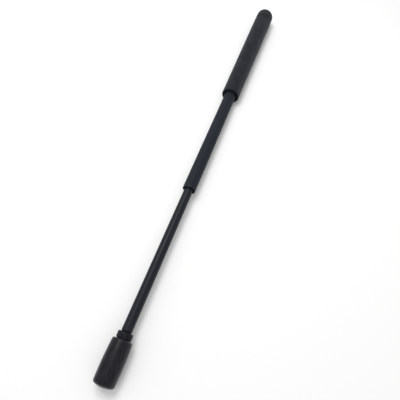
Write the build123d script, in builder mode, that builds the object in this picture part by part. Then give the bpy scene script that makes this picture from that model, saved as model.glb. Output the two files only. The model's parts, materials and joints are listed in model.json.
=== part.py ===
"""Telescopic prop stick: a foam-gripped handle, two tubes that slide out of it, and a rubber tip.

The stick lies drawn out on its side along X, tip towards +X. Stations run along the
stick's axis from the pommel's end; radii are measured from that axis.
"""
from build123d import *
import os
from math import sqrt

os.makedirs("parts", exist_ok=True)

# Lengths along the stick, drawn out
cap_length = 23.0
gasket_thickness = 2.1
handle_length = 250.0
middle_reach = 201.6
inner_reach = 201.7
neck_washer_thickness = 1.1
collar_length = 7.3
washer_thickness = 1.1
tip_length = 50.0

# Tubes: the inner tube sets the sizes of what it slides into
inner_od = 13.0
tube_wall = 1.2
middle_guide_gap = 1.8
handle_guide_gap = 1.3

# Walls outside the tubes
grip_mouth_wall = 2.9
grip_rear_wall = 4.2
cap_wall = 4.1
gasket_wall = 1.9
neck_set_in = 0.6
collar_wall = 2.8
washer_set_in = 1.1
tip_shoulder_step = 2.75
tip_waist_swell = 0.85
tip_rim_swell = 0.3

# Fits and gaps
running_clearance = 0.1
glide_gap = 0.2
stop_gap = 0.3
closed_gap = 0.5
edge_break = 0.3

# Pommel
cap_corner_radius = 9.0
tube_seat_depth = 14.0
spigot_stand = 3.0
oring_width = 2.2
oring_depth = 1.4
oring_set_back = 8.0
bumper_thickness = 2.5
bumper_step = 0.1
bumper_side_gap = 0.3

# Retaining clip and its screw
clip_strip = 0.6
clip_width = 5.0
clip_bore_gap = 0.33
clip_waist_pinch = 1.1
clip_nose_half = 1.3
clip_waist_reach = 9.0
clip_belly_reach = 21.0
clip_reach = 33.0
clip_screw_od = 3.0
clip_screw_length = 12.0
clip_head_od = 5.2
clip_head_height = 2.0

# Grip
grip_overhang = 3.0
grip_rear_round = 0.8
grip_mouth_round = 1.5
grip_lip_round = 0.8

# Pieces that guide and stop each sliding tube
mouth_recess = 3.0
bush_length = 10.0
stop_collar_length = 5.0
stop_collar_side_gap = 0.3
glide_length = 7.0
glide_slit = 1.5
snap_width = 1.0
snap_depth = 0.5
snap_side_gap = 0.4
snap_opening = 6.0
tube_end_lip = 1.2

# Tip
collar_rear_round = 2.0
collar_front_round = 1.0
stud_od = 6.0
stud_in_plug = 15.0
stud_in_core = 20.0
plug_length = 20.0
core_wall = 3.0
core_flange_set_in = 4.8
core_flange_thickness = 1.5
core_end_wall = 3.0
tip_shoulder_round = 2.4
tip_waist_place = 0.44
tip_dome_rise = 2.8
tip_rim_round = 3.0

# Diameters worked out from the inner tube outwards
inner_bore = inner_od - 2 * tube_wall
middle_bore = inner_od + 2 * middle_guide_gap
middle_od = middle_bore + 2 * tube_wall
handle_bore = middle_od + 2 * handle_guide_gap
handle_od = handle_bore + 2 * tube_wall
grip_mouth_od = handle_od + 2 * grip_mouth_wall
grip_rear_od = handle_od + 2 * grip_rear_wall
cap_od = handle_od + 2 * cap_wall
gasket_od = handle_od + 2 * gasket_wall
collar_od = inner_od + 2 * collar_wall
neck_washer_od = inner_od - 2 * neck_set_in
washer_od = collar_od - 2 * washer_set_in
tip_shoulder_od = collar_od + 2 * tip_shoulder_step
tip_waist_od = tip_shoulder_od + 2 * tip_waist_swell
tip_rim_od = tip_shoulder_od + 2 * tip_rim_swell
core_od = stud_od + 2 * core_wall
core_flange_od = tip_shoulder_od - 2 * core_flange_set_in
axis_height = max(cap_od, grip_rear_od, tip_waist_od) / 2

# Stations worked out from the lengths
grip_rear = cap_length + gasket_thickness
tube_seat = cap_length - tube_seat_depth
spigot_end = cap_length + spigot_stand
bumper_front = spigot_end + bumper_thickness
handle_mouth = handle_length - grip_overhang
middle_mouth = handle_length + middle_reach
inner_tube_front = middle_mouth + inner_reach
collar_rear = inner_tube_front + neck_washer_thickness
collar_front = collar_rear + collar_length
tip_rear = collar_front + washer_thickness
tip_end = tip_rear + tip_length

# The stick's own plane: local x is the station, local y is the radius
stick_plane = Plane(origin=(-tip_end / 2, 0, axis_height), x_dir=(1, 0, 0), z_dir=(0, -1, 0))
stick_axis = Axis((-tip_end / 2, 0, axis_height), (1, 0, 0))


def cross_plane(station):
    """Plane square to the stick's axis at a station, facing the tip."""
    origin = stick_plane.from_local_coords(Vector(station, 0, 0))
    return Plane(origin=origin, x_dir=(0, 1, 0), z_dir=(1, 0, 0))


def band(rear, front, inner_d, outer_d):
    """Half section of a plain ring between two stations."""
    with BuildSketch(stick_plane) as section:
        with BuildLine():
            Polyline(
                (rear, inner_d / 2),
                (front, inner_d / 2),
                (front, outer_d / 2),
                (rear, outer_d / 2),
                close=True,
            )
        make_face()
    return section.sketch


def slide_stations(mouth):
    """Stations of the pieces that guide and stop a tube inside another tube's mouth."""
    place = {"bush_front": mouth - mouth_recess}
    place["bush_rear"] = place["bush_front"] - bush_length
    place["collar_front"] = place["bush_rear"] - stop_gap
    place["collar_rear"] = place["collar_front"] - stop_collar_length
    place["glide_front"] = place["collar_rear"] - glide_gap
    place["glide_rear"] = place["glide_front"] - glide_length
    place["snap_front"] = place["glide_rear"] - glide_gap
    place["snap_rear"] = place["snap_front"] - snap_width
    place["tube_rear"] = place["snap_rear"] - tube_end_lip
    return place


middle_slide = slide_stations(handle_mouth)
inner_slide = slide_stations(middle_mouth)

# Travels: both tubes come to rest just short of the bumper inside the pommel
closed_rear = bumper_front + closed_gap
middle_travel = min(middle_slide["tube_rear"] - closed_rear, middle_reach - closed_gap)
inner_travel = min(
    inner_slide["tube_rear"] - middle_travel - closed_rear,
    collar_rear - middle_mouth - closed_gap,
)


def finish_piece(builder, label):
    """Name the piece and write its file."""
    builder.part.label = label
    export_step(builder.part, f"parts/{label}.step")


# ---------------------------------------------------------------- handle

with BuildPart() as end_cap:
    with BuildSketch(stick_plane):
        with BuildLine():
            l1 = Line((0, 0), (0, cap_od / 2 - cap_corner_radius))
            l2 = RadiusArc(l1 @ 1, (cap_corner_radius, cap_od / 2), cap_corner_radius)
            Polyline(
                l2 @ 1,
                (cap_length, cap_od / 2),
                (cap_length, handle_od / 2),
                (tube_seat, handle_od / 2),
                (tube_seat, handle_bore / 2),
                (spigot_end, handle_bore / 2),
                (spigot_end, 0),
                (0, 0),
            )
        make_face()
    revolve(axis=stick_axis)
    groove_front = cap_length - oring_set_back
    revolve(
        band(groove_front - oring_width, groove_front, handle_bore - 2 * oring_depth, handle_bore),
        axis=stick_axis,
        mode=Mode.SUBTRACT,
    )
    with BuildSketch(cross_plane(spigot_end)):
        Circle(clip_screw_od / 2)
    extrude(amount=-(clip_screw_length - clip_strip), mode=Mode.SUBTRACT)
    skirt_edge = end_cap.edges().filter_by(GeomType.CIRCLE).filter_by(
        lambda edge: abs(edge.radius - cap_od / 2) < 1e-3
    )
    fillet(skirt_edge.sort_by(Axis.X)[-1], edge_break)
finish_piece(end_cap, "end_cap")

with BuildPart() as cap_oring:
    revolve(
        band(groove_front - oring_width, groove_front, handle_bore - 2 * oring_depth, handle_bore),
        axis=stick_axis,
    )
    fillet(cap_oring.edges().filter_by(GeomType.CIRCLE), oring_depth / 3)
finish_piece(cap_oring, "cap_oring")

with BuildPart() as cap_gasket:
    revolve(band(cap_length, grip_rear, handle_od, gasket_od), axis=stick_axis)
finish_piece(cap_gasket, "cap_gasket")

with BuildPart() as cap_bumper:
    bumper_id = inner_bore - 2 * bumper_step
    bumper_od = handle_bore - 2 * bumper_side_gap
    revolve(band(spigot_end, bumper_front, bumper_id, bumper_od), axis=stick_axis)
    fillet(cap_bumper.faces().sort_by(Axis.X)[-1].edges(), edge_break)
finish_piece(cap_bumper, "cap_bumper")

# The clip's widest corners stay clear of the inner tube's bore, which slides over them
clip_corner_radius = inner_bore / 2 - clip_bore_gap
clip_base_half = sqrt(clip_corner_radius ** 2 - (clip_width / 2) ** 2) - clip_strip / 2
clip_waist_half = clip_base_half - clip_waist_pinch

with BuildPart() as retaining_clip:
    base = spigot_end + clip_strip / 2
    with BuildSketch(stick_plane):
        with BuildLine():
            FilletPolyline(
                (base, -clip_base_half),
                (base + clip_waist_reach, -clip_waist_half),
                (base + clip_belly_reach, -clip_base_half),
                (base + clip_reach, -clip_nose_half),
                (base + clip_reach, clip_nose_half),
                (base + clip_belly_reach, clip_base_half),
                (base + clip_waist_reach, clip_waist_half),
                (base, clip_base_half),
                radius=[1.0, 12.0, 6.0, 1.2, 1.2, 6.0, 12.0, 1.0],
                close=True,
            )
        trace(line_width=clip_strip)
    extrude(amount=clip_width / 2, both=True)
    with BuildSketch(cross_plane(spigot_end)):
        Circle(clip_screw_od / 2)
    extrude(amount=clip_strip, mode=Mode.SUBTRACT)
finish_piece(retaining_clip, "retaining_clip")

with BuildPart() as clip_screw:
    screw_tip = spigot_end + clip_strip - clip_screw_length
    with BuildSketch(cross_plane(screw_tip)):
        Circle(clip_screw_od / 2)
    extrude(amount=clip_screw_length)
    with BuildSketch(cross_plane(spigot_end + clip_strip)):
        Circle(clip_head_od / 2)
    extrude(amount=clip_head_height)
    head_face = clip_screw.faces().sort_by(Axis.X)[-1]
    fillet(head_face.edges(), edge_break)
    with BuildSketch(cross_plane(spigot_end + clip_strip + clip_head_height)):
        RegularPolygon(clip_head_od / 4, 6)
    extrude(amount=-clip_head_height / 2, mode=Mode.SUBTRACT)
finish_piece(clip_screw, "clip_screw")

with BuildPart() as handle_tube:
    revolve(band(tube_seat, handle_mouth, handle_bore, handle_od), axis=stick_axis)
    chamfer(handle_tube.faces().sort_by(Axis.X)[-1].edges(), edge_break)
finish_piece(handle_tube, "handle_tube")

with BuildPart() as foam_grip:
    with BuildSketch(stick_plane):
        with BuildLine():
            Polyline(
                (grip_rear, handle_od / 2),
                (handle_length, handle_od / 2),
                (handle_length, grip_mouth_od / 2),
                (grip_rear, grip_rear_od / 2),
                close=True,
            )
        make_face()
    revolve(axis=stick_axis)
    fillet(foam_grip.edges().sort_by(Axis.X).filter_by(GeomType.CIRCLE).filter_by(
        lambda edge: abs(edge.radius - grip_mouth_od / 2) < 1e-3
    ), grip_mouth_round)
    fillet(foam_grip.edges().filter_by(GeomType.CIRCLE).filter_by(
        lambda edge: abs(edge.radius - grip_rear_od / 2) < 1e-3
    ), grip_rear_round)
    fillet(foam_grip.edges().sort_by(Axis.X).filter_by(GeomType.CIRCLE).filter_by(
        lambda edge: abs(edge.radius - handle_od / 2) < 1e-3
    )[-1], grip_lip_round)
finish_piece(foam_grip, "foam_grip")


# ------------------------------------------------- guides, stops and glides

def make_guides(place, tube_od, outer_bore, names):
    """The bush, stop collar, glide ring and snap ring between one tube and the next."""
    with BuildPart() as bush:
        bush_id = tube_od + 2 * running_clearance
        revolve(band(place["bush_rear"], place["bush_front"], bush_id, outer_bore), axis=stick_axis)
        chamfer(bush.faces().sort_by(Axis.X)[-1].edges().sort_by(SortBy.RADIUS)[0], edge_break)
    finish_piece(bush, names["bush"])

    with BuildPart() as stop_collar:
        stop_od = outer_bore - 2 * stop_collar_side_gap
        revolve(band(place["collar_rear"], place["collar_front"], tube_od, stop_od), axis=stick_axis)
    finish_piece(stop_collar, names["stop_collar"])

    with BuildPart() as glide_ring:
        glide_id = tube_od + 2 * running_clearance
        glide_od = outer_bore - 2 * running_clearance
        revolve(band(place["glide_rear"], place["glide_front"], glide_id, glide_od), axis=stick_axis)
        with BuildSketch(cross_plane(place["glide_rear"])):
            Rectangle(glide_slit, outer_bore, align=(Align.CENTER, Align.MIN))
        extrude(amount=glide_length, mode=Mode.SUBTRACT)
    finish_piece(glide_ring, names["glide_ring"])

    with BuildPart() as snap_ring:
        snap_od = outer_bore - 2 * snap_side_gap
        snap_id = tube_od - 2 * snap_depth
        revolve(band(place["snap_rear"], place["snap_front"], snap_id, snap_od), axis=stick_axis)
        with BuildSketch(cross_plane(place["snap_rear"])):
            Rectangle(snap_opening, outer_bore, align=(Align.CENTER, Align.MIN))
        extrude(amount=snap_width, mode=Mode.SUBTRACT)
    finish_piece(snap_ring, names["snap_ring"])


make_guides(
    middle_slide,
    middle_od,
    handle_bore,
    {
        "bush": "handle_mouth_bush",
        "stop_collar": "middle_stop_collar",
        "glide_ring": "middle_glide_ring",
        "snap_ring": "middle_snap_ring",
    },
)
make_guides(
    inner_slide,
    inner_od,
    middle_bore,
    {
        "bush": "middle_mouth_bush",
        "stop_collar": "inner_stop_collar",
        "glide_ring": "inner_glide_ring",
        "snap_ring": "inner_snap_ring",
    },
)


# ------------------------------------------------------------ sliding tubes

with BuildPart() as middle_tube:
    revolve(band(middle_slide["tube_rear"], middle_mouth, middle_bore, middle_od), axis=stick_axis)
    chamfer(middle_tube.faces().sort_by(Axis.X)[-1].edges(), edge_break)
    revolve(
        band(middle_slide["snap_rear"], middle_slide["snap_front"], middle_od - 2 * snap_depth, middle_od),
        axis=stick_axis,
        mode=Mode.SUBTRACT,
    )
finish_piece(middle_tube, "middle_tube")

with BuildPart() as inner_tube:
    revolve(band(inner_slide["tube_rear"], inner_tube_front, inner_bore, inner_od), axis=stick_axis)
    revolve(
        band(inner_slide["snap_rear"], inner_slide["snap_front"], inner_od - 2 * snap_depth, inner_od),
        axis=stick_axis,
        mode=Mode.SUBTRACT,
    )
finish_piece(inner_tube, "inner_tube")


# --------------------------------------------------------------------- tip

with BuildPart() as tip_plug:
    revolve(
        band(inner_tube_front - plug_length, inner_tube_front, stud_od, inner_bore),
        axis=stick_axis,
    )
finish_piece(tip_plug, "tip_plug")

with BuildPart() as neck_washer:
    revolve(band(inner_tube_front, collar_rear, stud_od, neck_washer_od), axis=stick_axis)
finish_piece(neck_washer, "neck_washer")

with BuildPart() as tip_collar:
    revolve(band(collar_rear, collar_front, stud_od, collar_od), axis=stick_axis)
    rear_edges = tip_collar.faces().sort_by(Axis.X)[0].edges()
    fillet(rear_edges.sort_by(SortBy.RADIUS)[-1], collar_rear_round)
    front_edges = tip_collar.faces().sort_by(Axis.X)[-1].edges()
    fillet(front_edges.sort_by(SortBy.RADIUS)[-1], collar_front_round)
finish_piece(tip_collar, "tip_collar")

with BuildPart() as tip_washer:
    revolve(band(collar_front, tip_rear, stud_od, washer_od), axis=stick_axis)
finish_piece(tip_washer, "tip_washer")

stud_rear = inner_tube_front - stud_in_plug
stud_front = tip_rear + stud_in_core

with BuildPart() as tip_stud:
    with BuildSketch(cross_plane(stud_rear)):
        Circle(stud_od / 2)
    extrude(amount=stud_front - stud_rear)
    chamfer(tip_stud.edges().filter_by(GeomType.CIRCLE), edge_break)
finish_piece(tip_stud, "tip_stud")


def core_section():
    """Half section of the insert's outside, which the rubber is moulded round."""
    core_front = stud_front + core_end_wall
    flange_front = tip_rear + core_flange_thickness
    with BuildSketch(stick_plane) as section:
        with BuildLine():
            Polyline(
                (tip_rear, 0),
                (core_front, 0),
                (core_front, core_od / 2),
                (flange_front, core_od / 2),
                (flange_front, core_flange_od / 2),
                (tip_rear, core_flange_od / 2),
                close=True,
            )
        make_face()
    return section.sketch


with BuildPart() as tip_core:
    revolve(core_section(), axis=stick_axis)
    with BuildSketch(cross_plane(tip_rear)):
        Circle(stud_od / 2)
    extrude(amount=stud_in_core, mode=Mode.SUBTRACT)
finish_piece(tip_core, "tip_core")

with BuildPart() as tip_body:
    waist = tip_rear + tip_waist_place * tip_length
    rim = tip_end - tip_dome_rise
    dome_radius = ((tip_rim_od / 2) ** 2 + tip_dome_rise ** 2) / (2 * tip_dome_rise)
    with BuildSketch(stick_plane) as tip_section:
        with BuildLine():
            l3 = Line((tip_rear, 0), (tip_rear, tip_shoulder_od / 2))
            l4 = Spline(l3 @ 1, (waist, tip_waist_od / 2), (rim, tip_rim_od / 2))
            l5 = RadiusArc(l4 @ 1, (tip_end, 0), dome_radius)
            Line(l5 @ 1, l3 @ 0)
        make_face()
        shoulder_corner = tip_section.vertices().group_by(Axis.X)[0].sort_by(Axis.Y)[-1]
        fillet(shoulder_corner, tip_shoulder_round)
        rim_corner = tip_section.vertices().sort_by(Axis.Y)[-1]
        fillet(rim_corner, tip_rim_round)
    revolve(axis=stick_axis)
    revolve(core_section(), axis=stick_axis, mode=Mode.SUBTRACT)
finish_piece(tip_body, "tip_body")

print(f"drawn out {tip_end:.1f} mm, closed {tip_end - middle_travel - inner_travel:.1f} mm")
print(f"middle slide travel {middle_travel:.2f} mm, inner slide travel {inner_travel:.2f} mm")
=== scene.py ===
import json
import math

import bpy
from mathutils import Matrix, Vector


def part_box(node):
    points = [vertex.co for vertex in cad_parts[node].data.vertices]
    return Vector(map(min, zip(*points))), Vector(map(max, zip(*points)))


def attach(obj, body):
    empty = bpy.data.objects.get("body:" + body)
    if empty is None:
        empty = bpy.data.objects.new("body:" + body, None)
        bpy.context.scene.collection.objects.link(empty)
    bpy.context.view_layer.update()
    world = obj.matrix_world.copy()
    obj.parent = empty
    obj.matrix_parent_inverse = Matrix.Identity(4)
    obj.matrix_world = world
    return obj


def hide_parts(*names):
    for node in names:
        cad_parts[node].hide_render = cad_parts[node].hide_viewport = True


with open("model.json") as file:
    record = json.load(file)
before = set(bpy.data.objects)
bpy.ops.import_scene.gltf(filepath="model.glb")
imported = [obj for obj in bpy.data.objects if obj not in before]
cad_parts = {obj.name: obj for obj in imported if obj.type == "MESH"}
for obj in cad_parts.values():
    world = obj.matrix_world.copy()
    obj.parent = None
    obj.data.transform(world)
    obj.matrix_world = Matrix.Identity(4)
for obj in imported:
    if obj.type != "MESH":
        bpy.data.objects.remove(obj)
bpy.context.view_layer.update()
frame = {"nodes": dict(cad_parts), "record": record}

mm = 0.001
tubeLow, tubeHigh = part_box("inner_tube")
axisHeight = (tubeLow.z + tubeHigh.z) / 2  # the stick's axis lies along X at this height


def span(node):
    # rear station, front station and outer radius of a round CAD node
    low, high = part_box(node)
    return low.x, high.x, (high.y - low.y) / 2


cameraView = {
    "place": (0.31662, 0.09670, 0.41500),
    "heading": 199.745,  # degrees from +X towards +Y
    "dip": 60.59,  # degrees below the horizon
    "lens": 29.16,
    "sensorWidth": 36,
    "clipStart": 0.01,
}


def makeCamera(view):
    heading, dip = math.radians(view["heading"]), math.radians(view["dip"])
    forward = Vector((
        math.cos(heading) * math.cos(dip),
        math.sin(heading) * math.cos(dip),
        -math.sin(dip),
    ))
    right = Vector((math.sin(heading), -math.cos(heading), 0))
    up = right.cross(forward)
    turn = Matrix((right, up, -forward)).transposed()
    data = bpy.data.cameras.new("camera")
    data.lens = view["lens"]
    data.sensor_width = view["sensorWidth"]
    data.clip_start = view["clipStart"]
    camera = bpy.data.objects.new("camera", data)
    bpy.context.scene.collection.objects.link(camera)
    camera.matrix_world = Matrix.Translation(view["place"]) @ turn.to_4x4()
    bpy.context.scene.camera = camera


makeCamera(cameraView)

studio = {
    "keyPlace": (-0.20, -0.27, 1.10),
    "keyAim": (0.0, 0.0, 0.0),
    "keySize": (0.67, 0.53),
    "keyPower": 7.0,
    "skyColour": (1.0, 1.0, 1.0),
    "skyStrength": 0.75,
}


def makeLights(look):
    # one soft panel over the stick and an even pale sky
    scene = bpy.context.scene
    scene.view_settings.view_transform = "Standard"
    world = bpy.data.worlds.new("studioAir")
    world.use_nodes = True
    background = world.node_tree.nodes["Background"]
    background.inputs["Color"].default_value = (*look["skyColour"], 1)
    background.inputs["Strength"].default_value = look["skyStrength"]
    scene.world = world

    data = bpy.data.lights.new("keyPanel", "AREA")
    data.shape = "RECTANGLE"
    data.size, data.size_y = look["keySize"]
    data.energy = look["keyPower"]
    key = bpy.data.objects.new("keyPanel", data)
    key.location = look["keyPlace"]
    aim = Vector(look["keyAim"]) - Vector(look["keyPlace"])
    key.rotation_mode = "QUATERNION"
    key.rotation_quaternion = aim.to_track_quat("-Z", "Y")
    scene.collection.objects.link(key)


makeLights(studio)

studioFloor = {
    "size": 6.0,
    "colour": (0.90, 0.90, 0.895),
    "roughness": 0.9,
}


def makeFloor(sizes):
    # the stick rests on its pommel and its tip, so the floor follows the line under both
    rear, _, rearRadius = span("end_cap")
    _, front, frontRadius = span("tip_body")
    slope = (rearRadius - frontRadius) / (front - rear)
    half = sizes["size"] / 2
    outline = ((-half, -half), (half, -half), (half, half), (-half, half))
    corners = [(x, y, (x - rear) * slope) for x, y in outline]
    mesh = bpy.data.meshes.new("floor")
    mesh.from_pydata(corners, [], [(0, 1, 2, 3)])
    floor = bpy.data.objects.new("floor", mesh)
    bpy.context.scene.collection.objects.link(floor)
    material = bpy.data.materials.new("paleFloor")
    material.use_nodes = True
    shader = material.node_tree.nodes["Principled BSDF"]
    shader.inputs["Base Color"].default_value = (*sizes["colour"], 1)
    shader.inputs["Roughness"].default_value = sizes["roughness"]
    mesh.materials.append(material)


makeFloor(studioFloor)
print("camera, light and floor set")


def addNode(tree, kind, inputs=None, **settings):
    # inputs are values or other nodes' sockets, by name or by number
    node = tree.nodes.new(kind)
    node.location = (200 * len(tree.nodes), 0)
    for name, value in settings.items():
        setattr(node, name, value)
    for name, value in (inputs or {}).items():
        if isinstance(value, bpy.types.NodeSocket):
            tree.links.new(value, node.inputs[name])
        else:
            node.inputs[name].default_value = value
    return node


def calculate(tree, operation, first, second=0.0):
    return addNode(tree, "ShaderNodeMath", {0: first, 1: second}, operation=operation).outputs[0]


def remap(tree, value, fromRange, toRange=(0.0, 1.0), kind="LINEAR"):
    node = addNode(tree, "ShaderNodeMapRange", {
        "Value": value,
        "From Min": fromRange[0],
        "From Max": fromRange[1],
        "To Min": toRange[0],
        "To Max": toRange[1],
    }, interpolation_type=kind)
    return node.outputs["Result"]


def startMaterial(name):
    material = bpy.data.materials.new(name)
    material.use_nodes = True
    tree = material.node_tree
    return material, tree, tree.nodes["Principled BSDF"]


def addPattern(tree, kind, size, stretch=1.0, **inputs):
    # a texture on object coordinates: size across one feature, drawn out along the stick by stretch
    coordinates = addNode(tree, "ShaderNodeTexCoord")
    mapping = addNode(tree, "ShaderNodeMapping", {
        "Vector": coordinates.outputs["Object"],
        "Scale": (1 / (size * stretch), 1 / size, 1 / size),
    })
    return addNode(tree, kind, {"Vector": mapping.outputs["Vector"], "Scale": 1.0, **inputs})


def addNoise(tree, size, stretch=1.0, detail=3.0, roughness=0.55):
    noise = addPattern(tree, "ShaderNodeTexNoise", size, stretch, Detail=detail, Roughness=roughness)
    return noise.outputs["Fac"]


def mixColours(tree, factor, first, second):
    first = first if isinstance(first, bpy.types.NodeSocket) else (*first, 1)
    node = addNode(tree, "ShaderNodeMix", {0: factor, 6: first, 7: (*second, 1)}, data_type="RGBA")
    return node.outputs[2]


def addBump(tree, height, depth, normal=None):
    inputs = {"Height": height, "Distance": depth, "Strength": 1.0}
    if normal:
        inputs["Normal"] = normal
    return addNode(tree, "ShaderNodeBump", inputs).outputs["Normal"]


# noise values keep near 0.5, so each spread below is the part of their range that counts as none to full
foamLook = {
    "dark": (0.0045, 0.0050, 0.0080),
    "light": (0.0105, 0.0115, 0.0170),
    "blotch": 9 * mm,
    "blotchStretch": 1.6,
    "blotchSpread": (0.3, 0.7),
    "blotchShade": (0.25, 1.0),
    "cell": 0.75 * mm,
    "cellSpread": (0.05, 0.45),
    # painted shade: how dark a pit's bottom is painted, up to full colour at its rim
    "pitPaintedShade": (0.5, 1.0),
    "cellDepth": 0.14 * mm,
    "grainShare": 0.4,  # of a cell's size
    "grainDepthShare": 0.35,  # of a cell's depth
    "roughness": (0.92, 0.78),
    "shine": 0.22,
    "sheen": 0.12,
    "sheenRoughness": 0.45,
    "sheenTint": (0.86, 0.90, 1.0),
}


def gripFoam(look):
    # closed-cell foam rubber: matt, finely pitted, a little cloudy, with painted shade darkening the
    # bottom of each pit
    material, tree, shader = startMaterial("gripFoam")
    cells = addPattern(tree, "ShaderNodeTexVoronoi", look["cell"], Randomness=1.0).outputs["Distance"]
    pits = remap(tree, cells, look["cellSpread"], kind="SMOOTHSTEP")
    cloud = addNoise(tree, look["blotch"], look["blotchStretch"], detail=4.0)
    cloudShade = remap(tree, cloud, look["blotchSpread"], look["blotchShade"])
    # the pit bottoms are darkened in the base colour: painted shade, not the foam's own tone
    shade = calculate(tree, "MULTIPLY", cloudShade, remap(tree, pits, (0, 1), look["pitPaintedShade"]))
    tree.links.new(mixColours(tree, shade, look["dark"], look["light"]), shader.inputs["Base Color"])
    roughness = remap(tree, cloud, look["blotchSpread"], look["roughness"])
    tree.links.new(roughness, shader.inputs["Roughness"])
    grain = addNoise(tree, look["cell"] * look["grainShare"], detail=2.0)
    normal = addBump(tree, grain, look["cellDepth"] * look["grainDepthShare"])
    tree.links.new(addBump(tree, pits, look["cellDepth"], normal), shader.inputs["Normal"])
    shader.inputs["Specular IOR Level"].default_value = look["shine"]
    shader.inputs["Sheen Weight"].default_value = look["sheen"]
    shader.inputs["Sheen Roughness"].default_value = look["sheenRoughness"]
    shader.inputs["Sheen Tint"].default_value = (*look["sheenTint"], 1)
    return material


paintLook = {
    "dark": (0.0080, 0.0105, 0.0165),
    "light": (0.0130, 0.0165, 0.0240),
    "cloud": 14 * mm,
    "cloudStretch": 2.5,
    "cloudSpread": (0.3, 0.7),
    "worn": (0.052, 0.055, 0.062),
    "streak": 0.9 * mm,
    "streakStretch": 45.0,
    "rubSpread": (0.60, 0.80),
    "rub": 0.22,
    "chip": 1.6 * mm,
    "chipSpread": (0.46, 0.62),
    "chipped": 0.55,
    "roughness": 0.62,
    "roughnessSwing": 0.08,
    "roughnessSpread": (0.3, 0.75),
    "shine": 0.17,
    "peel": 1.3 * mm,
    "peelDepth": 0.006 * mm,
}
# the inner tube is rubbed smoother by the bush it runs in
rubbedPaintLook = {
    **paintLook,
    "dark": (0.0050, 0.0062, 0.0110),
    "light": (0.0085, 0.0100, 0.0160),
    "roughness": 0.42,
    "shine": 0.20,
}
capPaintLook = {
    **paintLook,
    "dark": (0.0105, 0.0120, 0.0165),
    "light": (0.0165, 0.0185, 0.0240),
    "roughness": 0.60,
    "shine": 0.20,
}


def tubePaint(name, look):
    # baked satin black: faint orange peel, lengthwise rub lines, thinner and paler on worn edges
    material, tree, shader = startMaterial(name)
    streaks = addNoise(tree, look["streak"], look["streakStretch"], roughness=0.65)
    cloud = addNoise(tree, look["cloud"], look["cloudStretch"])
    body = mixColours(tree, remap(tree, cloud, look["cloudSpread"]), look["dark"], look["light"])
    rub = remap(tree, streaks, look["rubSpread"], (0.0, look["rub"]))
    scratched = mixColours(tree, rub, body, look["worn"])
    wear = addNode(tree, "ShaderNodeAttribute", attribute_name="wear").outputs["Fac"]
    flakes = addNoise(tree, look["chip"], detail=5.0, roughness=0.7)
    chips = remap(tree, flakes, look["chipSpread"], (0.0, look["chipped"]))
    worn = calculate(tree, "MULTIPLY", wear, chips)
    tree.links.new(mixColours(tree, worn, scratched, look["worn"]), shader.inputs["Base Color"])
    rough, swing = look["roughness"], look["roughnessSwing"]
    roughness = remap(tree, streaks, look["roughnessSpread"], (rough + swing, rough - swing))
    tree.links.new(roughness, shader.inputs["Roughness"])
    peel = addNoise(tree, look["peel"], detail=2.0)
    tree.links.new(addBump(tree, peel, look["peelDepth"]), shader.inputs["Normal"])
    shader.inputs["Specular IOR Level"].default_value = look["shine"]
    return material


rubberLook = {
    "dark": (0.0003, 0.0002, 0.0018),
    "light": (0.0096, 0.0082, 0.0144),
    "streak": 2.2 * mm,
    "streakStretch": 3.5,
    "streakSpread": (0.39, 0.61),
    "streakDepth": 0.025 * mm,
    "scuffed": (0.050, 0.049, 0.052),
    "scuff": 2.4 * mm,
    "scuffStretch": 0.6,
    "scuffs": 1.0,
    "sideSpread": (0.52, 0.70),
    "sideScuffs": 0.16,
    "edgeSpread": (0.48, 0.66),
    "edgeScuffs": 0.50,
    "roughness": 0.36,
    "roughnessSwing": 0.07,
    "roughnessSpread": (0.4, 0.6),
    "shine": 0.25,
    "grain": 0.45 * mm,
    "grainDepth": 0.030 * mm,
}
collarLook = {
    **rubberLook,
    "light": (0.0100, 0.0090, 0.0136),
    "scuffs": 0.5,
    "roughness": 0.48,
    "shine": 0.17,
}
# near-black rubber, darker than the other rubbers: partly the seals' own black, partly painted shade so
# the grooves at the pommel and the neck read dark
gasketPaintedShadeLook = {
    **rubberLook,
    "dark": (0.0012, 0.0012, 0.0014),
    "light": (0.0024, 0.0024, 0.0028),
    "scuffs": 0.0,
    "roughness": 0.85,
    "shine": 0.05,
}


def mouldedRubber(name, look):
    # hard black rubber off a steel mould: fine grain, soft lengthwise streaks, grey scuffs on its edges
    material, tree, shader = startMaterial(name)
    streaks = addNoise(tree, look["streak"], look["streakStretch"], detail=4.0, roughness=0.6)
    body = mixColours(tree, remap(tree, streaks, look["streakSpread"]), look["dark"], look["light"])
    wear = addNode(tree, "ShaderNodeAttribute", attribute_name="wear").outputs["Fac"]
    marks = addNoise(tree, look["scuff"], look["scuffStretch"], detail=6.0, roughness=0.72)
    sideScuffs, edgeScuffs = look["sideScuffs"] * look["scuffs"], look["edgeScuffs"] * look["scuffs"]
    onSides = remap(tree, marks, look["sideSpread"], (0.0, sideScuffs))
    onEdges = remap(tree, marks, look["edgeSpread"], (0.0, edgeScuffs))
    onEdges = calculate(tree, "MULTIPLY", wear, onEdges)
    scuffed = mixColours(tree, calculate(tree, "MAXIMUM", onSides, onEdges), body, look["scuffed"])
    tree.links.new(scuffed, shader.inputs["Base Color"])
    rough, swing = look["roughness"], look["roughnessSwing"]
    roughness = remap(tree, streaks, look["roughnessSpread"], (rough + swing, rough - swing))
    tree.links.new(roughness, shader.inputs["Roughness"])
    grain = addNoise(tree, look["grain"])
    normal = addBump(tree, grain, look["grainDepth"])
    tree.links.new(addBump(tree, streaks, look["streakDepth"], normal), shader.inputs["Normal"])
    shader.inputs["Specular IOR Level"].default_value = look["shine"]
    return material


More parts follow.
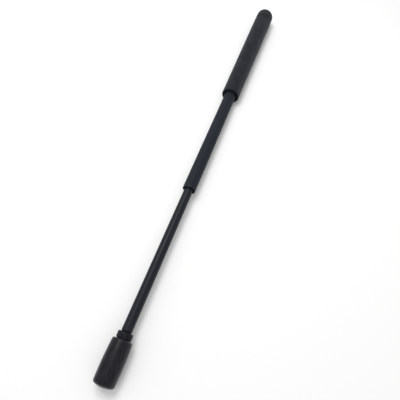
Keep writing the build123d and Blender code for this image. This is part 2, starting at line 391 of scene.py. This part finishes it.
steelLook = {
    "light": (0.60, 0.60, 0.59),
    "dark": (0.42, 0.42, 0.42),
    "stain": 3 * mm,
    "stainSpread": (0.35, 0.7),
    "roughness": 0.30,
    "smoother": 0.06,
    "rougher": 0.10,
    "roughnessSpread": (0.3, 0.7),
    "ringPitch": 0.35 * mm,
    "ringSweep": 60,  # how much further a tool ring runs round the piece than along it
    "cutDepth": 0.006 * mm,
}
springSteelLook = {
    **steelLook,
    "light": (0.036, 0.038, 0.046),
    "dark": (0.020, 0.021, 0.026),
    "roughness": 0.42,
}


def turnedSteel(name, look):
    # machined steel: fine tool rings square to the axis, slightly stained
    material, tree, shader = startMaterial(name)
    sweep = look["ringSweep"]
    tooling = addPattern(tree, "ShaderNodeTexNoise", look["ringPitch"] * sweep, 1 / sweep, Detail=3.0)
    rings = tooling.outputs["Fac"]
    stains = remap(tree, addNoise(tree, look["stain"], detail=4.0), look["stainSpread"])
    tree.links.new(mixColours(tree, stains, look["light"], look["dark"]), shader.inputs["Base Color"])
    rough = look["roughness"]
    roughRange = (rough - look["smoother"], rough + look["rougher"])
    tree.links.new(remap(tree, rings, look["roughnessSpread"], roughRange), shader.inputs["Roughness"])
    tree.links.new(addBump(tree, rings, look["cutDepth"]), shader.inputs["Normal"])
    shader.inputs["Metallic"].default_value = 1.0
    return material


nylonLook = {
    "dark": (0.010, 0.010, 0.011),
    "light": (0.022, 0.022, 0.023),
    "rub": 0.6 * mm,
    "rubStretch": 20.0,
    "rubSpread": (0.35, 0.7),
    "rubDepth": 0.008 * mm,
    "roughness": (0.55, 0.38),
    "roughnessSpread": (0.3, 0.7),
}


def guideNylon(look):
    # black bearing nylon: waxy, rubbed lengthwise where the tube runs in it
    material, tree, shader = startMaterial("guideNylon")
    rub = addNoise(tree, look["rub"], look["rubStretch"])
    body = mixColours(tree, remap(tree, rub, look["rubSpread"]), look["dark"], look["light"])
    tree.links.new(body, shader.inputs["Base Color"])
    roughness = remap(tree, rub, look["roughnessSpread"], look["roughness"])
    tree.links.new(roughness, shader.inputs["Roughness"])
    tree.links.new(addBump(tree, rub, look["rubDepth"]), shader.inputs["Normal"])
    return material


finishes = {
    "grip_foam": gripFoam(foamLook),
    "tube_paint": tubePaint("satinBlackTube", paintLook),
    "cap_paint": tubePaint("satinBlackCap", capPaintLook),
    "gasket_rubber": mouldedRubber("gasketRubber", gasketPaintedShadeLook),
    "collar_rubber": mouldedRubber("collarRubber", collarLook),
    "tip_rubber": mouldedRubber("tipRubber", rubberLook),
    "bright_steel": turnedSteel("brightSteel", steelLook),
    "spring_steel": turnedSteel("springSteel", springSteelLook),
    "guide_nylon": guideNylon(nylonLook),
}
nodesOfSlot = {
    "grip_foam": ["foam_grip"],
    "tube_paint": ["handle_tube", "middle_tube", "inner_tube"],
    "cap_paint": ["end_cap"],
    "gasket_rubber": ["cap_gasket", "cap_oring", "cap_bumper", "neck_washer"],
    "collar_rubber": ["tip_collar"],
    "tip_rubber": ["tip_body"],
    "bright_steel": [
        "clip_screw", "middle_stop_collar", "inner_stop_collar", "tip_plug", "tip_stud", "tip_core",
    ],
    "spring_steel": ["retaining_clip", "middle_snap_ring", "inner_snap_ring", "tip_washer"],
    "guide_nylon": ["handle_mouth_bush", "middle_glide_ring", "middle_mouth_bush", "inner_glide_ring"],
}
for slotName, nodeNames in nodesOfSlot.items():
    for nodeName in nodeNames:
        for materialSlot in frame["nodes"][nodeName].material_slots:
            materialSlot.material = finishes[slotName]
print(len(finishes), "finishes given to", sum(map(len, nodesOfSlot.values())), "CAD nodes")

# how the tree below shapes the skin of every turned piece
skinShape = {
    "weld": 0.002 * mm,
    "fade": 1.2 * mm,  # over which the relief grows outside Skin Start
    "swellDetail": 2.0,
    "pitSpread": (0.05, 0.50),
    "seamSpread": (0.4, 1.0),  # of the seam's half width
}


def buildTurningTree(shape):
    # turns a half section (station in x, radius in y) about the stick's axis and roughens its skin
    tree = bpy.data.node_groups.new("turnedSurface", "GeometryNodeTree")
    tree.is_modifier = True
    tree.interface.new_socket("Section", in_out="INPUT", socket_type="NodeSocketGeometry")
    tree.interface.new_socket("Segments", in_out="INPUT", socket_type="NodeSocketInt")
    for name in ("Axis Height", "Skin Start", "Swell Size", "Swell Height", "Pit Size", "Pit Depth",
                 "Seam Width", "Seam Height", "Seed"):
        tree.interface.new_socket(name, in_out="INPUT", socket_type="NodeSocketFloat")
    tree.interface.new_socket("Material", in_out="INPUT", socket_type="NodeSocketMaterial")
    tree.interface.new_socket("Surface", in_out="OUTPUT", socket_type="NodeSocketGeometry")
    given = addNode(tree, "NodeGroupInput").outputs

    # a grid with one column for each angle and one row for each point of the section
    rows = addNode(tree, "GeometryNodeAttributeDomainSize", {0: given["Section"]}).outputs["Point Count"]
    columns = calculate(tree, "ADD", given["Segments"], 1)
    grid = addNode(tree, "GeometryNodeMeshGrid", {
        "Vertices X": columns,
        "Vertices Y": rows,
    }).outputs["Mesh"]
    index = addNode(tree, "GeometryNodeInputIndex").outputs["Index"]
    row = calculate(tree, "MODULO", index, rows)
    insideColumn = calculate(tree, "ADD", index, 0.5)  # keeps the division off a whole number
    column = calculate(tree, "FLOOR", calculate(tree, "DIVIDE", insideColumn, rows))
    turn = calculate(tree, "DIVIDE", column, given["Segments"])
    angle = calculate(tree, "MULTIPLY", turn, 2 * math.pi)

    def fromSection(value, kind):
        return addNode(tree, "GeometryNodeSampleIndex", {
            "Geometry": given["Section"],
            "Value": value,
            "Index": row,
        }, data_type=kind).outputs["Value"]

    place = fromSection(addNode(tree, "GeometryNodeInputPosition").outputs["Position"], "FLOAT_VECTOR")
    station, radius, _ = addNode(tree, "ShaderNodeSeparateXYZ", {0: place}).outputs
    sideways = calculate(tree, "MULTIPLY", radius, calculate(tree, "SINE", angle))
    downwards = calculate(tree, "MULTIPLY", radius, calculate(tree, "COSINE", angle))
    upwards = calculate(tree, "SUBTRACT", given["Axis Height"], downwards)
    onRing = addNode(tree, "ShaderNodeCombineXYZ", {0: station, 1: sideways, 2: upwards}).outputs[0]
    wearOnSection = addNode(tree, "GeometryNodeInputNamedAttribute", {"Name": "wear"}, data_type="FLOAT")
    wear = fromSection(wearOnSection.outputs["Attribute"], "FLOAT")
    along = calculate(tree, "DIVIDE", row, calculate(tree, "SUBTRACT", rows, 1))
    unrolled = addNode(tree, "ShaderNodeCombineXYZ", {0: turn, 1: along}).outputs[0]
    marked = addNode(tree, "GeometryNodeStoreNamedAttribute", {
        "Geometry": grid,
        "Name": "UVMap",
        "Value": unrolled,
    }, data_type="FLOAT2", domain="CORNER").outputs["Geometry"]
    marked = addNode(tree, "GeometryNodeStoreNamedAttribute", {
        "Geometry": marked,
        "Name": "wear",
        "Value": wear,
    }, data_type="FLOAT", domain="POINT").outputs["Geometry"]
    turned = addNode(tree, "GeometryNodeSetPosition", {
        "Geometry": marked,
        "Position": onRing,
    }).outputs["Geometry"]
    closed = addNode(tree, "GeometryNodeMergeByDistance", {
        "Geometry": turned,
        "Distance": shape["weld"],
    }).outputs["Geometry"]

    # the skin: long swells, small pits, and a raised mould seam at both sides
    position = addNode(tree, "GeometryNodeInputPosition").outputs["Position"]
    _, across, height = addNode(tree, "ShaderNodeSeparateXYZ", {0: position}).outputs
    aboveAxis = calculate(tree, "SUBTRACT", height, given["Axis Height"])
    acrossSquared = calculate(tree, "MULTIPLY", across, across)
    aboveSquared = calculate(tree, "MULTIPLY", aboveAxis, aboveAxis)
    fromAxis = calculate(tree, "SQRT", calculate(tree, "ADD", acrossSquared, aboveSquared))
    skinEnd = calculate(tree, "ADD", given["Skin Start"], shape["fade"])
    skin = remap(tree, fromAxis, (given["Skin Start"], skinEnd), kind="SMOOTHSTEP")
    swells = addNode(tree, "ShaderNodeTexNoise", {
        "Vector": position,
        "W": given["Seed"],
        "Scale": calculate(tree, "DIVIDE", 1.0, given["Swell Size"]),
        "Detail": shape["swellDetail"],
    }, noise_dimensions="4D").outputs["Fac"]
    swell = calculate(tree, "MULTIPLY", calculate(tree, "SUBTRACT", swells, 0.5), given["Swell Height"])
    cells = addNode(tree, "ShaderNodeTexVoronoi", {
        "Vector": position,
        "W": given["Seed"],
        "Scale": calculate(tree, "DIVIDE", 1.0, given["Pit Size"]),
    }, voronoi_dimensions="4D").outputs["Distance"]
    pits = remap(tree, cells, shape["pitSpread"], (-1.0, 0.0), "SMOOTHSTEP")
    pit = calculate(tree, "MULTIPLY", pits, given["Pit Depth"])
    offSeam = calculate(tree, "DIVIDE", calculate(tree, "ABSOLUTE", aboveAxis), given["Seam Width"])
    ridge = remap(tree, offSeam, shape["seamSpread"], (1.0, 0.0), "SMOOTHSTEP")
    seam = calculate(tree, "MULTIPLY", ridge, given["Seam Height"])
    relief = calculate(tree, "ADD", calculate(tree, "ADD", swell, pit), seam)
    push = addNode(tree, "ShaderNodeVectorMath", {
        0: addNode(tree, "GeometryNodeInputNormal").outputs["Normal"],
        "Scale": calculate(tree, "MULTIPLY", relief, skin),
    }, operation="SCALE").outputs["Vector"]
    textured = addNode(tree, "GeometryNodeSetPosition", {
        "Geometry": closed,
        "Offset": push,
    }).outputs["Geometry"]
    smooth = addNode(tree, "GeometryNodeSetShadeSmooth", {"Geometry": textured}).outputs["Geometry"]
    whole = addNode(tree, "GeometryNodeRealizeInstances", {"Geometry": smooth}).outputs["Geometry"]
    painted = addNode(tree, "GeometryNodeSetMaterial", {
        "Geometry": whole,
        "Material": given["Material"],
    }).outputs["Geometry"]
    addNode(tree, "NodeGroupOutput", {"Surface": painted})
    return tree


turningTree = buildTurningTree(skinShape)
print("turning tree built:", len(turningTree.nodes), "nodes")

roundShape = {
    "arcSteps": 6,  # in each rounded corner
    "hold": 0.25 * mm,  # keeps flat faces flat beside a round
}


def roundedOutline(corners, step, closed=False):
    # points (station, radius, wear) along a half section given as corners (station, radius, round)
    arcSteps, hold = roundShape["arcSteps"], roundShape["hold"]
    count = len(corners)
    points = []
    for i, (station, radius, rounding) in enumerate(corners):
        corner = Vector((station, radius))
        if rounding == 0:
            points.append((corner, 0.0))
            continue
        before = (Vector(corners[i - 1][:2]) - corner).normalized()
        after = (Vector(corners[(i + 1) % count][:2]) - corner).normalized()
        half = math.acos(max(-1.0, min(1.0, before.dot(after)))) / 2
        centre = corner + (before + after).normalized() * rounding / math.sin(half)
        first = corner + before * rounding / math.tan(half) - centre
        last = corner + after * rounding / math.tan(half) - centre
        points.append((centre + first + before * hold, 0.0))
        for j in range(arcSteps + 1):
            share = j / arcSteps
            spoke = first.slerp(last, share)
            edgeWear = math.sqrt(math.sin(math.pi * share))
            points.append((centre + spoke.normalized() * rounding, edgeWear))
        points.append((centre + last + after * hold, 0.0))
    if closed:
        points.append(points[0])
    outline = []
    for (start, startWear), (end, endWear) in zip(points, points[1:]):
        parts = max(1, math.ceil((end - start).length / step))
        for j in range(parts):
            share = j / parts
            outline.append((*start.lerp(end, share), startWear + (endWear - startWear) * share))
    outline.append((*points[-1][0], points[-1][1]))
    return outline


# a smooth skin, which each piece's own "skin" changes where it needs to
plainSkin = {
    "Segments": 96,
    "Axis Height": axisHeight,
    "Skin Start": 1.0,  # this far off the axis there is nothing left to roughen
    "Swell Size": 20 * mm,
    "Swell Height": 0.0,
    "Pit Size": 2 * mm,
    "Pit Depth": 0.0,
    "Seam Width": 0.5 * mm,
    "Seam Height": 0.0,
    "Seed": 0.0,
}


def turnPiece(name, node, slotName, outline, skin, finish=None):
    # the finished surface of revolution, standing for one CAD node
    section = bpy.data.meshes.new(name + "Section")
    edges = [(i, i + 1) for i in range(len(outline) - 1)]
    section.from_pydata([(station, radius, 0) for station, radius, _ in outline], edges, [])
    wear = section.attributes.new("wear", "FLOAT", "POINT")
    wear.data.foreach_set("value", [point[2] for point in outline])
    blank = bpy.data.objects.new(name + "Section", section)
    bpy.context.scene.collection.objects.link(blank)
    modifier = blank.modifiers.new("turning", "NODES")
    modifier.node_group = turningTree
    values = {**plainSkin, **skin, "Material": finish or finishes[slotName]}
    for item in turningTree.interface.items_tree:
        if item.in_out == "INPUT" and item.name in values:
            modifier[item.identifier] = values[item.name]
    graph = bpy.context.evaluated_depsgraph_get()
    mesh = bpy.data.meshes.new_from_object(blank.evaluated_get(graph), depsgraph=graph)
    mesh.name = name
    bpy.data.objects.remove(blank)
    bpy.data.meshes.remove(section)
    piece = bpy.data.objects.new(name, mesh)
    bpy.context.scene.collection.objects.link(piece)
    body = next(b for b, members in frame["record"]["behaviour"]["bodies"].items() if node in members)
    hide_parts(node)
    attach(piece, body)
    print(f"{name}: {len(mesh.polygons)} faces on {body}")
    return piece


sleeveRear, _, sleeveRadius = span("handle_tube")
_, _, studRadius = span("tip_stud")
_, _, sleeveBore = span("handle_mouth_bush")  # each bush and plug fills the bore it sits in
_, _, middleBore = span("middle_mouth_bush")
_, _, innerBore = span("tip_plug")

endCap = {
    "cornerRound": 9 * mm,
    "skirtRound": 0.6 * mm,
    "spigotRound": 0.4 * mm,
    "ringGroove": 1.4 * mm,
    "screwRadius": 1.5 * mm,
    "step": 0.8 * mm,
    "skin": {
        "Segments": 128,
        "Skin Start": 2 * mm,
        "Swell Size": 12 * mm,
        "Swell Height": 0.04 * mm,
        "Seed": 1.0,
    },
}


def makeEndCap(sizes):
    # a rounded cap whose spigot goes into the handle tube, with a groove for the seal
    rear, front, radius = span("end_cap")
    skirt, _, _ = span("cap_gasket")
    ringRear, ringFront, _ = span("cap_oring")
    screwTip, _, _ = span("clip_screw")
    grooveFloor = sleeveBore - sizes["ringGroove"]
    outline = roundedOutline([
        (rear, 0, 0),
        (rear, radius, sizes["cornerRound"]),
        (skirt, radius, sizes["skirtRound"]),
        (skirt, sleeveRadius, 0),
        (sleeveRear, sleeveRadius, 0),
        (sleeveRear, sleeveBore, 0),
        (ringRear, sleeveBore, 0),
        (ringRear, grooveFloor, 0),
        (ringFront, grooveFloor, 0),
        (ringFront, sleeveBore, 0),
        (front, sleeveBore, sizes["spigotRound"]),
        (front, sizes["screwRadius"], 0),
        (screwTip, sizes["screwRadius"], 0),
        (screwTip, 0, 0),
    ], sizes["step"])
    return turnPiece("endCap", "end_cap", "cap_paint", outline, sizes["skin"])


makeEndCap(endCap)


def makeRing(name, node, slotName, bore, sizes):
    # a washer or collar: a square bore and two rounded outer edges
    rear, front, radius = span(node)
    outline = roundedOutline([
        (rear, bore, 0),
        (rear, radius, sizes["rearRound"]),
        (front, radius, sizes["frontRound"]),
        (front, bore, 0),
    ], sizes["step"], closed=True)
    return turnPiece(name, node, slotName, outline, sizes["skin"])


capGasket = {"rearRound": 0.25 * mm, "frontRound": 0.25 * mm, "step": 0.4 * mm, "skin": {}}
makeRing("capGasket", "cap_gasket", "gasket_rubber", sleeveRadius, capGasket)

neckWasher = {"rearRound": 0.25 * mm, "frontRound": 0.25 * mm, "step": 0.4 * mm, "skin": {}}
makeRing("neckWasher", "neck_washer", "gasket_rubber", studRadius, neckWasher)

tipWasher = {"rearRound": 0.2 * mm, "frontRound": 0.2 * mm, "step": 0.4 * mm, "skin": {}}
makeRing("tipWasher", "tip_washer", "spring_steel", studRadius, tipWasher)

tipCollar = {
    "rearRound": 1.6 * mm,
    "frontRound": 1.0 * mm,
    "step": 0.4 * mm,
    "skin": {
        "Skin Start": 4 * mm,
        "Swell Size": 6 * mm,
        "Swell Height": 0.10 * mm,
        "Seam Width": 0.35 * mm,
        "Seam Height": 0.08 * mm,
        "Seed": 2.0,
    },
}
makeRing("tipCollar", "tip_collar", "collar_rubber", studRadius, tipCollar)

gripSleeve = {
    "mouthWall": 2.9 * mm,  # the foam thins from its full thickness at the pommel to this at its mouth
    "rearRound": 0.8 * mm,
    "mouthRound": 1.5 * mm,
    "lipRound": 0.8 * mm,
    "step": 0.75 * mm,
    "skin": {
        "Segments": 150,
        "Skin Start": 12.6 * mm,
        "Swell Size": 22 * mm,
        "Swell Height": 0.45 * mm,
        "Pit Size": 2.4 * mm,
        "Pit Depth": 0.15 * mm,
        "Seed": 3.0,
    },
}


def makeGripSleeve(sizes):
    # foam stretched over the handle tube, with a soft lip at its mouth
    rear, front, radius = span("foam_grip")
    outline = roundedOutline([
        (rear, sleeveRadius, 0),
        (rear, radius, sizes["rearRound"]),
        (front, sleeveRadius + sizes["mouthWall"], sizes["mouthRound"]),
        (front, sleeveRadius, sizes["lipRound"]),
    ], sizes["step"], closed=True)
    sleeve = turnPiece("gripSleeve", "foam_grip", "grip_foam", outline, sizes["skin"])
    return sleeve


makeGripSleeve(gripSleeve)


def makeTube(name, node, bore, ringNode, finish, sizes):
    # square at the rear with the snap ring's groove, rounded at the front
    rear, front, radius = span(node)
    ringRear, ringFront, _ = span(ringNode)
    grooveFloor = radius - sizes["ringSeat"]
    outline = roundedOutline([
        (rear, bore, 0),
        (rear, radius, 0),
        (ringRear, radius, 0),
        (ringRear, grooveFloor, 0),
        (ringFront, grooveFloor, 0),
        (ringFront, radius, 0),
        (front, radius, sizes["frontRound"]),
        (front, bore, sizes["lipRound"]),
    ], sizes["step"], closed=True)
    return turnPiece(name, node, "tube_paint", outline, sizes["skin"], finish)


middleTube = {
    "ringSeat": 0.5 * mm,
    "frontRound": 0.55 * mm,
    "lipRound": 0.4 * mm,
    "step": 3.0 * mm,
    "skin": {"Segments": 112},
}
makeTube("middleTube", "middle_tube", middleBore, "middle_snap_ring", finishes["tube_paint"], middleTube)

innerTube = {**middleTube, "frontRound": 0.3 * mm, "lipRound": 0.3 * mm}
rubbedPaint = tubePaint("rubbedBlackTube", rubbedPaintLook)
makeTube("innerTube", "inner_tube", innerBore, "inner_snap_ring", rubbedPaint, innerTube)

tipBody = {
    "shoulderRound": 2.4 * mm,
    "waistSwell": 0.85 * mm,
    "waistPlace": 0.44,  # share of the length from the shoulder
    "rimSwell": 0.3 * mm,
    "rimRound": 3.0 * mm,
    "roundRoom": 4.5 * mm,  # the barrel's curve leaves this to the shoulder's and the rim's rounds
    "sidePoints": 13,
    "domeRise": 2.8 * mm,
    "domeShare": 0.78,  # of the angle to the rim, where the rim's round takes over
    "domePoints": 9,
    "coreWall": 3.0 * mm,
    "flange": 1.5 * mm,
    "gateRadius": 1.6 * mm,
    "gateDepth": 0.25 * mm,
    "gateTaper": 0.8,
    "step": 0.7 * mm,
    "skin": {
        "Segments": 160,
        "Skin Start": 8.5 * mm,
        "Swell Size": 9 * mm,
        "Swell Height": 0.12 * mm,
        "Pit Size": 6 * mm,
        "Pit Depth": 0.05 * mm,
        "Seam Width": 0.4 * mm,
        "Seam Height": 0.10 * mm,
        "Seed": 4.0,
    },
}


def throughThree(places, values, at):
    # the parabola through three points
    total = 0
    for i in range(3):
        share = values[i]
        for j in range(3):
            if j != i:
                share *= (at - places[j]) / (places[i] - places[j])
        total += share
    return total


def evenly(start, end, count):
    return [start + (end - start) * i / (count - 1) for i in range(count)]


def makeTipBody(sizes):
    # a barrel round the threaded core, with a shallow dome and a gate mark at its end
    rear, front, waist = span("tip_body")
    _, coreFront, flangeRadius = span("tip_core")
    shoulder = waist - sizes["waistSwell"]
    rim = shoulder + sizes["rimSwell"]
    rimStation = front - sizes["domeRise"]
    places = (rear, rear + sizes["waistPlace"] * (front - rear), rimStation)
    side = evenly(rear + sizes["roundRoom"], rimStation - sizes["roundRoom"], sizes["sidePoints"])
    domeRadius = (rim ** 2 + sizes["domeRise"] ** 2) / (2 * sizes["domeRise"])
    domeCentre = front - domeRadius
    rimAngle = math.asin(rim / domeRadius)
    gateAngle = math.asin(sizes["gateRadius"] / domeRadius)
    dome = evenly(rimAngle * sizes["domeShare"], gateAngle, sizes["domePoints"])
    coreRadius = studRadius + sizes["coreWall"]
    gateFloor = front - sizes["gateDepth"]
    outline = roundedOutline([
        (coreFront, 0, 0),
        (coreFront, coreRadius, 0),
        (rear + sizes["flange"], coreRadius, 0),
        (rear + sizes["flange"], flangeRadius, 0),
        (rear, flangeRadius, 0),
        (rear, shoulder, sizes["shoulderRound"]),
        *[(station, throughThree(places, (shoulder, waist, rim), station), 0) for station in side],
        (rimStation, rim, sizes["rimRound"]),
        *[(domeCentre + domeRadius * math.cos(a), domeRadius * math.sin(a), 0) for a in dome],
        (gateFloor, sizes["gateRadius"] * sizes["gateTaper"], 0),
        (gateFloor, 0, 0),
    ], sizes["step"])
    return turnPiece("tipBody", "tip_body", "tip_rubber", outline, sizes["skin"])


makeTipBody(tipBody)
